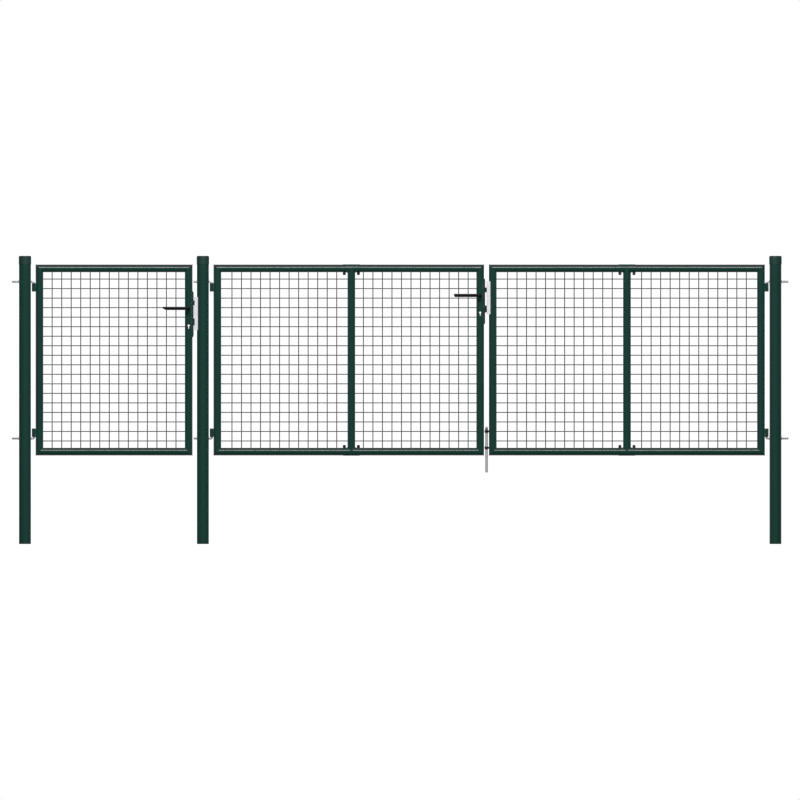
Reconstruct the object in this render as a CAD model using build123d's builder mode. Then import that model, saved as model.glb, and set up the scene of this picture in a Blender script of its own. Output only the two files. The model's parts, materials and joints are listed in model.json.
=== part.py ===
from build123d import *
import os
from math import cos, radians, sin

# A set of field gates on three posts: one single leaf for people, and a pair of wide leaves
# that meet in the middle. X runs along the fence, -Y is the front, +Z is up. The origin is
# the middle of the whole width, at the level of the post feet, in the plane of the posts.

os.makedirs("parts", exist_ok=True)

# ---------------------------------------------------------------- driving dimensions, mm
# layout along the fence
single_leaf_width = 821.5
left_leaf_width = 1418.0
right_leaf_width = 1446.0
hinge_gap = 27.0
lock_gap = 25.5
meeting_gap = 28.0
leaf_height = 1000.0
leaf_bottom = 465.0
upright_from_hinge_end = 722.5

# posts and their caps
post_od = 60.0
post_wall = 2.5
post_above_leaf = 35.0
cap_wall = 1.5
cap_skirt = 33.0
cap_crown = 11.0
cap_edge_radius = 6.0
cap_clearance = 0.1

# leaf tubes
tube_od = 38.0
tube_wall = 2.0
rail_joint_gap = 1.0
weld_gap = 0.05

# welded mesh
wire_d = 3.2
mesh_pitch = 50.0
mesh_edge_min = 35.0

# hinges: threaded rods bent into hooks, and sleeves on the leaves
hook_from_leaf_end = 88.5
hook_rod_d = 10.0
hook_reach = 17.0
hook_bend_radius = 6.4
hook_collar_r = 7.5
hook_collar = 2.5
hook_seat_gap = 0.3
hook_pin_in_sleeve = 38.5
hook_pin_chamfer = 1.0
outer_post_rod_end = 37.6
middle_post_rod_end = 18.0
bush_od = 16.0
bush_clearance = 0.05
thread_clearance = 0.05
sleeve_length = 42.0
pin_clearance = 0.05

# tee joints of the wide leaves
tee_length = 88.0
tee_wall = 1.2
tee_clearance = 0.1
clamp_from_upright = 37.0
clamp_bolt_d = 8.0
clamp_nut_width = 13.0
clamp_nut_height = 6.5
clamp_nut_sink = 1.6
clamp_flange_r = 8.0
clamp_flange = 1.6
clamp_head = 5.5
fastener_clearance = 0.05
clamp_tip_gap = 0.1

# locks, measured from the lever axis on the lock stile
single_lever_below_top = 229.0
pair_lever_below_top = 161.0
lock_top = 91.0
lock_bottom = 152.0
lock_width = 24.0
forend_stand_off = 6.0
forend_thickness = 3.0
lock_end_slope = 3.5
case_top = 60.0
case_bottom = 122.0
case_back = 14.5
case_width = 15.0
case_wall = 1.2
case_pocket_gap = 3.0
case_side_gap = 0.5
housing_side_gap = 1.0
forend_screw_inset = 16.0
bolt_width = 12.0
bolt_slot_clearance = 0.25
bolt_keep_gap = 0.6
latch_above_lever = 29.0
latch_height = 24.0
latch_body_back = 13.0
latch_bevel = 5.0
latch_tail_height = 8.0
latch_tail_width = 8.0
latch_lug = 2.0
latch_lug_face = 1.7
latch_lug_bottom = 10.0
dead_bolt_below_lever = 71.0
dead_bolt_height = 35.0
dead_bolt_body_back = 16.0
dead_bolt_tail_back = 4.0
dead_bolt_tail_height = 15.5
key_below_lever = 90.0
key_head_d = 12.5
key_tail_width = 5.5
key_total_height = 23.0

# lever handles
spindle_size = 8.0
spindle_half_length = 50.0
spindle_hole_r = 6.6
follower_r = 8.0
follower_width = 12.0
follower_journal_r = 7.0
follower_arm_radius = 13.0
follower_arm_width = 3.0
follower_nose_r = 2.5
follower_arm_angle = 20.0
lever_length = 137.0
lever_height = 15.5
lever_depth = 13.0
lever_neck_r = 8.5
lever_standoff = 42.0
lever_edge_radius = 3.0
lever_neck_gap = 0.3
single_lever_end_taper = 18.0
pair_lever_end_taper = 4.0
lever_end_height = 7.0

# keeps: channels with a slot for each bolt
keep_height = 174.0
keep_width = 30.0
keep_wall = 2.5
keep_bend_radius = 2.0
keep_seat_gap = 0.1
keep_slot_clearance = 2.0
keep_slot_side_clearance = 0.7
post_keep_stand_off = 14.0
leaf_keep_stand_off = 12.7
post_keep_above_lever = 60.0
leaf_keep_above_lever = 75.0

# countersunk screws
keep_screw_d = 5.0
keep_screw_head_d = 10.0
keep_screw_length = 22.0
forend_screw_d = 4.0
forend_screw_head_d = 8.0
forend_screw_length = 10.0

# drop bolt of the right leaf
drop_bolt_d = 12.0
drop_bolt_from_leaf = 13.7
drop_bolt_reach = 89.5
drop_bolt_bend_radius = 14.2
drop_bolt_handle = 32.0
drop_bolt_chamfer = 1.5
drop_bolt_seat_gap = 0.3
guide_od = 19.5
guide_height = 12.0
guide_clearance = 0.08
guide_neck = 8.0
lower_guide_height = 39.4
upper_guide_height = 125.5

# ---------------------------------------------------------------- derived places
post_r = post_od / 2
tube_r = tube_od / 2
rod_r = hook_rod_d / 2
leaf_top = leaf_bottom + leaf_height
post_height = leaf_top + post_above_leaf
single_lever_height = leaf_top - single_lever_below_top
pair_lever_height = leaf_top - pair_lever_below_top
top_axis = leaf_top - tube_r
bottom_axis = leaf_bottom + tube_r
overall_width = (
    3 * post_od + 3 * hinge_gap + lock_gap + meeting_gap
    + single_leaf_width + left_leaf_width + right_leaf_width
)
left_post_x = post_r - overall_width / 2
single_left = left_post_x + post_r + hinge_gap
single_right = single_left + single_leaf_width
middle_post_x = single_right + lock_gap + post_r
left_leaf_left = middle_post_x + post_r + hinge_gap
left_leaf_right = left_leaf_left + left_leaf_width
right_leaf_left = left_leaf_right + meeting_gap
right_leaf_right = right_leaf_left + right_leaf_width
right_post_x = right_leaf_right + hinge_gap + post_r
left_upright_x = left_leaf_left + upright_from_hinge_end
right_upright_x = right_leaf_right - upright_from_hinge_end
upper_hook_z = leaf_top - hook_from_leaf_end
lower_hook_z = leaf_bottom + hook_from_leaf_end
sleeve_start = hook_bend_radius + hook_collar + hook_seat_gap
hinge_offset = hinge_gap - hook_reach
tee_r = tube_r + tee_clearance + tee_wall
forend_face = tube_r + forend_stand_off
forend_back = forend_face - forend_thickness
post_keep_face = middle_post_x - post_r - post_keep_stand_off
leaf_keep_face = right_leaf_left - leaf_keep_stand_off
latch_slot = latch_height + 2 * keep_slot_clearance
dead_bolt_slot = dead_bolt_height + 2 * keep_slot_clearance
keep_screw_low = (
    latch_above_lever - latch_slot / 2 - dead_bolt_below_lever + dead_bolt_slot / 2
) / 2


def save(piece, label):
    """Label a finished piece and write it as the node of that name."""
    piece.part.label = label
    export_step(piece.part, f"parts/{label}.step")


def lock_plane(stile_x, lever_z):
    """Plane through the lever axis, seen from the front: local x is X, local y is Z."""
    return Plane(origin=(stile_x, 0, lever_z), x_dir=(1, 0, 0), z_dir=(0, -1, 0))


def mitre(x, z, side, level):
    """Plane of a 45 degree corner; its normal points at the rail."""
    return Plane(origin=(x, 0, z), z_dir=(-side, 0, level))


def countersunk_screw(x, z, way, head_d, shank_d, length, grow=0.0):
    """Screw driven along X, its flush head at x. With grow it is the hole for one."""
    head_depth = (head_d - shank_d) / 2
    with BuildPart() as screw:
        with BuildSketch(lock_plane(x, z)):
            with BuildLine():
                Polyline(
                    (0, 0),
                    (0, head_d / 2 + grow),
                    (way * head_depth, shank_d / 2 + grow),
                    (way * length, shank_d / 2 + grow),
                    (way * length, 0),
                    close=True,
                )
            make_face()
        revolve(axis=Axis((x, 0, z), (1, 0, 0)))
    return screw.part


# ---------------------------------------------------------------- posts
def post(x, label, screw_holes=()):
    """Round post with cross holes for the hinge bushes."""
    with BuildPart() as piece:
        with BuildSketch():
            with Locations((x, 0)):
                Circle(post_r)
                Circle(post_r - post_wall, mode=Mode.SUBTRACT)
        extrude(amount=post_height)
        with BuildSketch(Plane.YZ.offset(x - post_od)):
            with Locations((0, upper_hook_z), (0, lower_hook_z)):
                Circle(bush_od / 2 + bush_clearance)
        extrude(amount=2 * post_od, mode=Mode.SUBTRACT)
        if screw_holes:
            with BuildSketch(Plane.YZ.offset(x - post_od)):
                with Locations(*[(0, z) for z in screw_holes]):
                    Circle(keep_screw_d / 2 + fastener_clearance)
            extrude(amount=post_od, mode=Mode.SUBTRACT)
    save(piece, label)


post_keep_top = single_lever_height + post_keep_above_lever
leaf_keep_top = pair_lever_height + leaf_keep_above_lever


def keep_screw_heights(lever_z, keep_top):
    """Heights of a keep's two screws, clear of both slots."""
    latch_slot_top = lever_z + latch_above_lever + latch_slot / 2
    return [(keep_top + latch_slot_top) / 2, lever_z + keep_screw_low]


post_screw_heights = keep_screw_heights(single_lever_height, post_keep_top)
leaf_screw_heights = keep_screw_heights(pair_lever_height, leaf_keep_top)

post(left_post_x, "left_post")
post(middle_post_x, "middle_post", post_screw_heights)
post(right_post_x, "right_post")

cap_r = post_r + cap_clearance + cap_wall
cap_top = post_height + cap_crown
with BuildPart() as post_caps:
    for post_x in (left_post_x, middle_post_x, right_post_x):
        with BuildSketch(Plane.XZ):
            with BuildLine():
                rim = (post_x + cap_r, post_height - cap_skirt)
                shoulder = (post_x + cap_r, cap_top - cap_edge_radius)
                crown = (post_x + cap_r - cap_edge_radius, cap_top)
                Line(rim, shoulder)
                RadiusArc(shoulder, crown, -cap_edge_radius)
                Polyline(
                    crown,
                    (post_x, cap_top),
                    (post_x, post_height),
                    (post_x + post_r + cap_clearance, post_height),
                    (post_x + post_r + cap_clearance, post_height - cap_skirt),
                    rim,
                )
            make_face()
        revolve(axis=Axis((post_x, 0, 0), (0, 0, 1)))
save(post_caps, "post_caps")

with BuildPart() as hinge_bushes:
    for post_x in (left_post_x, middle_post_x, right_post_x):
        with BuildSketch(Plane.YZ.offset(post_x - post_r)):
            with Locations((0, upper_hook_z), (0, lower_hook_z)):
                Circle(bush_od / 2)
                Circle(rod_r + thread_clearance, mode=Mode.SUBTRACT)
        extrude(amount=post_od)
save(hinge_bushes, "hinge_bushes")


def hinge_hooks(post_x, side, rod_end, label):
    """Two hooks of one post: the lower pin points up, the upper one down."""
    axis_x = post_x + side * (post_r + hook_reach)
    far_x = post_x - side * (post_r + rod_end)
    with BuildPart() as piece:
        for z, up in ((lower_hook_z, 1), (upper_hook_z, -1)):
            pin_end = z + up * (sleeve_start + hook_pin_in_sleeve)
            with BuildLine():
                FilletPolyline(
                    (far_x, 0, z),
                    (axis_x, 0, z),
                    (axis_x, 0, pin_end),
                    radius=hook_bend_radius,
                )
            with BuildSketch(Plane(origin=(far_x, 0, z), z_dir=(side, 0, 0))):
                Circle(rod_r)
            sweep()
            with BuildSketch(Plane.XY.offset(z + up * hook_bend_radius)):
                with Locations((axis_x, 0)):
                    Circle(hook_collar_r)
            extrude(amount=up * hook_collar)
        pin_ends = piece.faces().filter_by(Axis.Z).filter_by(lambda face: not face.inner_wires())
        chamfer(pin_ends.edges(), hook_pin_chamfer)
    save(piece, label)


hinge_hooks(left_post_x, 1, outer_post_rod_end, "left_post_hooks")
hinge_hooks(middle_post_x, 1, middle_post_rod_end, "middle_post_hooks")
hinge_hooks(right_post_x, -1, outer_post_rod_end, "right_post_hooks")


# ---------------------------------------------------------------- keeps
def keep(face_x, seat_x, seat_r, lever_z, keep_top, label):
    """Channel open towards the tube that it is screwed to, slotted for both bolts."""
    depth = seat_x - face_x
    screw_heights = keep_screw_heights(lever_z, keep_top)
    cutters = [
        countersunk_screw(
            face_x, z, 1, keep_screw_head_d, keep_screw_d, keep_screw_length, fastener_clearance
        )
        for z in screw_heights
    ]
    with BuildPart() as piece:
        with BuildSketch(Plane.XY.offset(keep_top - keep_height)):
            with Locations((face_x + depth / 2, 0)):
                Rectangle(depth, keep_width)
            with Locations((face_x + keep_wall + depth / 2, 0)):
                Rectangle(depth, keep_width - 2 * keep_wall, mode=Mode.SUBTRACT)
        extrude(amount=keep_height)
        fillet(piece.edges().filter_by(Axis.Z).group_by(Axis.X)[0], keep_bend_radius)
        with BuildSketch(Plane.XY.offset(keep_top - keep_height)):
            with Locations((seat_x, 0)):
                Circle(seat_r + keep_seat_gap)
        extrude(amount=keep_height, mode=Mode.SUBTRACT)
        with BuildSketch(Plane.YZ.offset(face_x)):
            with Locations((0, lever_z + latch_above_lever)):
                Rectangle(bolt_width + 2 * keep_slot_side_clearance, latch_slot)
            with Locations((0, lever_z - dead_bolt_below_lever)):
                Rectangle(bolt_width + 2 * keep_slot_side_clearance, dead_bolt_slot)
        extrude(amount=keep_wall, mode=Mode.SUBTRACT)
        for cutter in cutters:
            add(cutter, mode=Mode.SUBTRACT)
    save(piece, label)
    with BuildPart() as screws:
        for z in screw_heights:
            add(countersunk_screw(
                face_x, z, 1, keep_screw_head_d, keep_screw_d, keep_screw_length
            ))
    save(screws, label + "_screws")


keep(post_keep_face, middle_post_x, post_r, single_lever_height, post_keep_top, "post_keep")
keep(
    leaf_keep_face,
    right_leaf_left + tube_r,
    tube_r,
    pair_lever_height,
    leaf_keep_top,
    "leaf_keep",
)


# ---------------------------------------------------------------- leaves
def rail(spans, x0, x1, level, label):
    """Rail of a leaf, in one length or in two halves, mitred at both corners."""
    axis_z = top_axis if level > 0 else bottom_axis
    corner_z = leaf_top if level > 0 else leaf_bottom
    with BuildPart() as piece:
        for start, end in spans:
            with BuildSketch(Plane.YZ.offset(start)):
                with Locations((0, axis_z)):
                    Circle(tube_r)
                    Circle(tube_r - tube_wall, mode=Mode.SUBTRACT)
            extrude(amount=end - start)
        split(bisect_by=mitre(x0, corner_z, -1, level), keep=Keep.TOP)
        split(bisect_by=mitre(x1, corner_z, 1, level), keep=Keep.TOP)
    save(piece, label)


def stile(x0, side, label, lever_z=None, screw_heights=()):
    """End tube of a leaf, mitred top and bottom; a lock stile is cut for its lock."""
    centre_x = x0 + tube_r
    corner_x = x0 if side < 0 else x0 + tube_od
    with BuildPart() as piece:
        with BuildSketch(Plane.XY.offset(leaf_bottom)):
            with Locations((centre_x, 0)):
                Circle(tube_r)
                Circle(tube_r - tube_wall, mode=Mode.SUBTRACT)
        extrude(amount=leaf_height)
        split(bisect_by=mitre(corner_x, leaf_top, side, 1), keep=Keep.BOTTOM)
        split(bisect_by=mitre(corner_x, leaf_bottom, side, -1), keep=Keep.BOTTOM)
        if lever_z is not None:
            face = lock_plane(centre_x, lever_z)
            with BuildSketch(face):
                Circle(spindle_hole_r)
                keyhole()
            extrude(amount=tube_od, both=True, mode=Mode.SUBTRACT)
            slot_top = case_top + case_pocket_gap
            slot_bottom = case_bottom + case_pocket_gap
            with BuildSketch(Plane.YZ.offset(centre_x)):
                with Locations((0, lever_z + (slot_top - slot_bottom) / 2)):
                    Rectangle(case_width + 2 * case_side_gap, slot_top + slot_bottom)
                with Locations(
                    (0, lever_z + lock_top - forend_screw_inset),
                    (0, lever_z - lock_bottom + forend_screw_inset),
                ):
                    Circle(forend_screw_d / 2 + fastener_clearance)
            extrude(amount=tube_od, mode=Mode.SUBTRACT)
        if screw_heights:
            with BuildSketch(Plane.YZ.offset(x0)):
                with Locations(*[(0, z) for z in screw_heights]):
                    Circle(keep_screw_d / 2 + fastener_clearance)
            extrude(amount=tube_r, mode=Mode.SUBTRACT)
    save(piece, label)


def keyhole():
    """Key-shaped hole, drawn in a lock plane that is the active sketch."""
    tail = key_total_height - key_head_d / 2
    with Locations((0, -key_below_lever)):
        Circle(key_head_d / 2)
    with Locations((0, -key_below_lever - tail / 2)):
        Rectangle(key_tail_width, tail)


def wire_places(low, high):
    """Middles of the wires between two tube faces, spread evenly about the middle."""
    count = int((high - low - 2 * mesh_edge_min) / mesh_pitch) + 1
    first = (low + high) / 2 - (count - 1) * mesh_pitch / 2
    return [first + i * mesh_pitch for i in range(count)]


def mesh(bays, label):
    """Welded mesh: upright wires behind, level wires in front, one panel in each bay."""
    wire_y = (wire_d + weld_gap) / 2
    low = leaf_bottom + tube_od
    high = leaf_top - tube_od
    with BuildPart() as piece:
        for x0, x1 in bays:
            with BuildSketch(Plane.XY.offset(low + weld_gap)):
                with Locations(*[(x, wire_y) for x in wire_places(x0, x1)]):
                    Circle(wire_d / 2)
            extrude(amount=high - low - 2 * weld_gap)
            with BuildSketch(Plane.YZ.offset(x0 + weld_gap)):
                with Locations(*[(-wire_y, z) for z in wire_places(low, high)]):
                    Circle(wire_d / 2)
            extrude(amount=x1 - x0 - 2 * weld_gap)
    save(piece, label)


def hinge_sleeves(leaf_end, side, label):
    """Two sleeves welded to a hinge stile; side is the way from the leaf to its post."""
    axis_x = leaf_end + side * hinge_offset
    with BuildPart() as piece:
        for z, up in ((lower_hook_z, 1), (upper_hook_z, -1)):
            with BuildSketch(Plane.XY.offset(z + up * sleeve_start)):
                with Locations((axis_x, 0)):
                    Circle(hinge_offset - weld_gap)
                    Circle(rod_r + pin_clearance, mode=Mode.SUBTRACT)
            extrude(amount=up * sleeve_length)
    save(piece, label)


def tee_joints(upright_x, prefix):
    """Centre upright with its tee sleeves, and the nuts and bolts that clamp the rails."""
    rails = ((top_axis, -1), (bottom_axis, 1))
    bolt_places = [(upright_x - clamp_from_upright, 0), (upright_x + clamp_from_upright, 0)]
    with BuildPart() as upright:
        with BuildSketch(Plane.XY.offset(bottom_axis)):
            with Locations((upright_x, 0)):
                Circle(tube_r)
                Circle(tube_r - tube_wall, mode=Mode.SUBTRACT)
        extrude(amount=top_axis - bottom_axis)
        with BuildSketch(Plane.YZ.offset(upright_x - tube_od)):
            with Locations((0, top_axis), (0, bottom_axis)):
                Circle(tee_r + weld_gap)
        extrude(amount=2 * tube_od, mode=Mode.SUBTRACT)
    save(upright, prefix + "_centre_upright")

    with BuildPart() as sleeves:
        with BuildSketch(Plane.YZ.offset(upright_x - tee_length / 2)):
            with Locations((0, top_axis), (0, bottom_axis)):
                Circle(tee_r)
                Circle(tube_r + tee_clearance, mode=Mode.SUBTRACT)
        extrude(amount=tee_length)
        for axis_z, inward in rails:
            with BuildSketch(Plane.XY.offset(axis_z)):
                with Locations(*bolt_places):
                    Circle(clamp_bolt_d / 2 + fastener_clearance)
            extrude(amount=inward * tube_od, mode=Mode.SUBTRACT)
    save(sleeves, prefix + "_tee_sleeves")

    with BuildPart() as nuts:
        for axis_z, inward in rails:
            with BuildSketch(Plane.XY.offset(axis_z + inward * (tee_r - clamp_nut_sink))):
                with Locations(*bolt_places):
                    RegularPolygon(clamp_nut_width / 2, 6, major_radius=False)
                    Circle(clamp_bolt_d / 2 + fastener_clearance, mode=Mode.SUBTRACT)
            extrude(amount=inward * (clamp_nut_height + clamp_nut_sink))
        with BuildSketch(Plane.YZ.offset(upright_x - tee_length)):
            with Locations((0, top_axis), (0, bottom_axis)):
                Circle(tee_r + weld_gap)
        extrude(amount=2 * tee_length, mode=Mode.SUBTRACT)
    save(nuts, prefix + "_clamp_nuts")

    with BuildPart() as bolts:
        for axis_z, inward in rails:
            nut_face = axis_z + inward * (tee_r + clamp_nut_height)
            tip = axis_z + inward * (tube_r + clamp_tip_gap)
            with BuildSketch(Plane.XY.offset(tip)):
                with Locations(*bolt_places):
                    Circle(clamp_bolt_d / 2)
            extrude(amount=nut_face - tip)
            with BuildSketch(Plane.XY.offset(nut_face)):
                with Locations(*bolt_places):
                    Circle(clamp_flange_r)
            extrude(amount=inward * clamp_flange)
            with BuildSketch(Plane.XY.offset(nut_face + inward * clamp_flange)):
                with Locations(*bolt_places):
                    RegularPolygon(clamp_nut_width / 2, 6, major_radius=False)
            extrude(amount=inward * clamp_head)
    save(bolts, prefix + "_clamp_bolts")


single_span = [(single_left, single_right)]
single_lock_x = single_right - tube_r
rail(single_span, single_left, single_right, 1, "single_top_rail")
rail(single_span, single_left, single_right, -1, "single_bottom_rail")
stile(single_left, -1, "single_hinge_stile")
stile(single_right - tube_od, 1, "single_lock_stile", lever_z=single_lever_height)
mesh([(single_left + tube_od, single_right - tube_od)], "single_mesh")
hinge_sleeves(single_left, -1, "single_hinge_sleeves")


def wide_leaf(x0, x1, upright_x, prefix):
    """Rails, mesh and tee joints of one wide leaf."""
    halves = [(x0, upright_x - rail_joint_gap / 2), (upright_x + rail_joint_gap / 2, x1)]
    bays = [(x0 + tube_od, upright_x - tube_r), (upright_x + tube_r, x1 - tube_od)]
    rail(halves, x0, x1, 1, prefix + "_top_rails")
    rail(halves, x0, x1, -1, prefix + "_bottom_rails")
    mesh(bays, prefix + "_mesh")
    tee_joints(upright_x, prefix)


pair_lock_x = left_leaf_right - tube_r
wide_leaf(left_leaf_left, left_leaf_right, left_upright_x, "left")
stile(left_leaf_left, -1, "left_hinge_stile")
stile(left_leaf_right - tube_od, 1, "left_lock_stile", lever_z=pair_lever_height)
hinge_sleeves(left_leaf_left, -1, "left_hinge_sleeves")

wide_leaf(right_leaf_left, right_leaf_right, right_upright_x, "right")
stile(right_leaf_left, -1, "right_meeting_stile", screw_heights=leaf_screw_heights)
stile(right_leaf_right - tube_od, 1, "right_hinge_stile")
hinge_sleeves(right_leaf_right, 1, "right_hinge_sleeves")


# ---------------------------------------------------------------- locks
def lock(stile_x, lever_z, keep_face, end_taper, prefix):
    """One lock on its stile: box, case, forend, bolts, follower, spindle and two levers."""
    face = lock_plane(stile_x, lever_z)
    forend_x = stile_x + forend_face
    screw_heights = [
        lever_z + lock_top - forend_screw_inset,
        lever_z - lock_bottom + forend_screw_inset,
    ]
    screw_sizes = (-1, forend_screw_head_d, forend_screw_d, forend_screw_length)
    cutters = [
        countersunk_screw(forend_x, z, *screw_sizes, fastener_clearance)
        for z in screw_heights
    ]
    pocket_height = case_top + case_bottom + 2 * case_pocket_gap
    pocket_middle = lever_z + (case_top - case_bottom) / 2
    box_top = lock_top - lock_end_slope
    box_bottom = lock_end_slope - lock_bottom

    with BuildPart() as box:
        with BuildSketch(face):
            Polygon(
                (0, lock_top),
                (tube_r, lock_top),
                (forend_back, box_top),
                (forend_back, box_bottom),
                (tube_r, -lock_bottom),
                (0, -lock_bottom),
                align=None,
            )
        extrude(amount=lock_width / 2, both=True)
        with BuildSketch(Plane.YZ.offset(stile_x)):
            with Locations((0, pocket_middle)):
                Rectangle(case_width + 2 * housing_side_gap, pocket_height)
        extrude(amount=tube_od, mode=Mode.SUBTRACT)
        with BuildSketch(Plane.XY.offset(lever_z - lock_bottom)):
            with Locations((stile_x, 0)):
                Circle(tube_r + weld_gap)
        extrude(amount=lock_top + lock_bottom, mode=Mode.SUBTRACT)
        for cutter in cutters:
            add(cutter, mode=Mode.SUBTRACT)
    save(box, prefix + "_lock_box")

    with BuildPart() as forend:
        with BuildSketch(face):
            Polygon(
                (forend_back, box_top),
                (forend_face, box_top - lock_end_slope),
                (forend_face, box_bottom + lock_end_slope),
                (forend_back, box_bottom),
                align=None,
            )
        extrude(amount=lock_width / 2, both=True)
        with BuildSketch(Plane.YZ.offset(stile_x)):
            with Locations((0, lever_z + latch_above_lever)):
                Rectangle(
                    bolt_width + 2 * bolt_slot_clearance,
                    latch_height + 2 * bolt_slot_clearance,
                )
            with Locations((0, lever_z - dead_bolt_below_lever)):
                Rectangle(
                    bolt_width + 2 * bolt_slot_clearance,
                    dead_bolt_height + 2 * bolt_slot_clearance,
                )
        extrude(amount=tube_od, mode=Mode.SUBTRACT)
        for cutter in cutters:
            add(cutter, mode=Mode.SUBTRACT)
    save(forend, prefix + "_forend")

    with BuildPart() as screws:
        for z in screw_heights:
            add(countersunk_screw(forend_x, z, *screw_sizes))
    save(screws, prefix + "_forend_screws")

    with BuildPart() as case:
        with BuildSketch(face):
            with Locations(((forend_back - case_back) / 2, (case_top - case_bottom) / 2)):
                Rectangle(forend_back + case_back, case_top + case_bottom)
        extrude(amount=case_width / 2, both=True)
        with BuildSketch(face):
            with Locations(
                ((forend_back - case_back + case_wall) / 2, (case_top - case_bottom) / 2)
            ):
                Rectangle(
                    forend_back + case_back - case_wall,
                    case_top + case_bottom - 2 * case_wall,
                )
        extrude(amount=case_width / 2 - case_wall, both=True, mode=Mode.SUBTRACT)
        with BuildSketch(face):
            Circle(follower_journal_r + pin_clearance)
            keyhole()
        extrude(amount=case_width, both=True, mode=Mode.SUBTRACT)
    save(case, prefix + "_lock_case")

    tip = keep_face - stile_x - bolt_keep_gap
    latch_low = latch_above_lever - latch_height / 2
    latch_high = latch_above_lever + latch_height / 2
    tail_low = latch_above_lever - latch_tail_height / 2
    tail_high = latch_above_lever + latch_tail_height / 2
    lug_back = latch_lug_face - latch_lug
    with BuildPart() as latch:
        with BuildSketch(face):
            Polygon(
                (latch_body_back, latch_low),
                (tip, latch_low),
                (tip, latch_high),
                (latch_body_back, latch_high),
                align=None,
            )
        extrude(amount=bolt_width / 2, both=True)
        nose = latch.faces().sort_by(Axis.X)[-1]
        chamfer(nose.edges().sort_by(Axis.Y)[-1], latch_bevel)
        with BuildSketch(face):
            Polygon(
                (lug_back, latch_lug_bottom),
                (latch_lug_face, latch_lug_bottom),
                (latch_lug_face, tail_low),
                (latch_body_back, tail_low),
                (latch_body_back, tail_high),
                (lug_back, tail_high),
                align=None,
            )
        extrude(amount=latch_tail_width / 2, both=True)
    save(latch, prefix + "_latch_bolt")

    dead_low = -dead_bolt_below_lever - dead_bolt_height / 2
    dead_high = -dead_bolt_below_lever + dead_bolt_height / 2
    with BuildPart() as dead_bolt:
        with BuildSketch(face):
            Polygon(
                (dead_bolt_body_back, dead_low),
                (tip, dead_low),
                (tip, dead_high),
                (-dead_bolt_tail_back, dead_high),
                (-dead_bolt_tail_back, dead_high - dead_bolt_tail_height),
                (dead_bolt_body_back, dead_high - dead_bolt_tail_height),
                align=None,
            )
        extrude(amount=bolt_width / 2, both=True)
    save(dead_bolt, prefix + "_dead_bolt")

    arm_angle = radians(follower_arm_angle)
    arm_tip = Vector(sin(arm_angle), cos(arm_angle)) * follower_arm_radius
    with BuildPart() as follower:
        with BuildSketch(face):
            Circle(follower_r)
        extrude(amount=follower_width / 2, both=True)
        with BuildSketch(face):
            Circle(follower_journal_r)
        extrude(amount=case_width / 2, both=True)
        with BuildSketch(face):
            with Locations(arm_tip / 2):
                SlotCenterToCenter(
                    follower_arm_radius, follower_arm_width, rotation=90 - follower_arm_angle
                )
            with Locations(arm_tip):
                Circle(follower_nose_r)
        extrude(amount=latch_tail_width / 2, both=True)
        with BuildSketch(face):
            Rectangle(spindle_size + 2 * pin_clearance, spindle_size + 2 * pin_clearance)
        extrude(amount=case_width, both=True, mode=Mode.SUBTRACT)
    save(follower, prefix + "_follower")

    with BuildPart() as spindle:
        with BuildSketch(face):
            Rectangle(spindle_size, spindle_size)
        extrude(amount=spindle_half_length, both=True)
    save(spindle, prefix + "_spindle")

    for side, name in ((-1, "front"), (1, "back")):
        neck_plane = Plane(
            origin=(stile_x, side * (tube_r + lever_neck_gap), lever_z),
            x_dir=(1, 0, 0),
            z_dir=(0, side, 0),
        )
        arm_plane = Plane(
            origin=(stile_x, side * lever_standoff, lever_z),
            x_dir=(1, 0, 0),
            z_dir=(0, side, 0),
        )
        upward = side * -1
        half = lever_height / 2
        with BuildPart() as lever:
            with BuildSketch(arm_plane):
                Circle(half)
                Polygon(
                    (0, upward * half),
                    (-lever_length, upward * half),
                    (-lever_length, upward * (half - lever_end_height)),
                    (end_taper - lever_length, -upward * half),
                    (0, -upward * half),
                    align=None,
                )
            extrude(amount=lever_depth)
            outer = lever.faces().sort_by(Axis.Y)[0 if side < 0 else -1]
            fillet(outer.edges(), lever_edge_radius)
            with BuildSketch(neck_plane):
                Circle(lever_neck_r)
            extrude(amount=lever_standoff - tube_r)
            with BuildSketch(neck_plane):
                Rectangle(spindle_size + 2 * pin_clearance, spindle_size + 2 * pin_clearance)
            extrude(
                amount=spindle_half_length - tube_r - lever_neck_gap + pin_clearance,
                mode=Mode.SUBTRACT,
            )
        save(lever, f"{prefix}_lever_{name}")


lock(
    single_lock_x, single_lever_height, post_keep_face, single_lever_end_taper, "single"
)
lock(pair_lock_x, pair_lever_height, leaf_keep_face, pair_lever_end_taper, "pair")


# ---------------------------------------------------------------- drop bolt
drop_bolt_x = right_leaf_left - drop_bolt_from_leaf
drop_bolt_r = drop_bolt_d / 2
upper_guide_top = leaf_bottom + upper_guide_height + guide_height / 2
handle_z = upper_guide_top + drop_bolt_seat_gap + drop_bolt_bend_radius
drop_bolt_tip = leaf_bottom - drop_bolt_reach

with BuildPart() as drop_bolt:
    with BuildLine():
        FilletPolyline(
            (drop_bolt_x, 0, drop_bolt_tip),
            (drop_bolt_x, 0, handle_z),
            (drop_bolt_x, -drop_bolt_handle, handle_z),
            radius=drop_bolt_bend_radius,
        )
    with BuildSketch(Plane.XY.offset(drop_bolt_tip)):
        with Locations((drop_bolt_x, 0)):
            Circle(drop_bolt_r)
    sweep()
    chamfer(drop_bolt.faces().sort_by(Axis.Z)[0].edges(), drop_bolt_chamfer)
    chamfer(drop_bolt.faces().sort_by(Axis.Y)[0].edges(), drop_bolt_chamfer)
save(drop_bolt, "drop_bolt")

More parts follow.
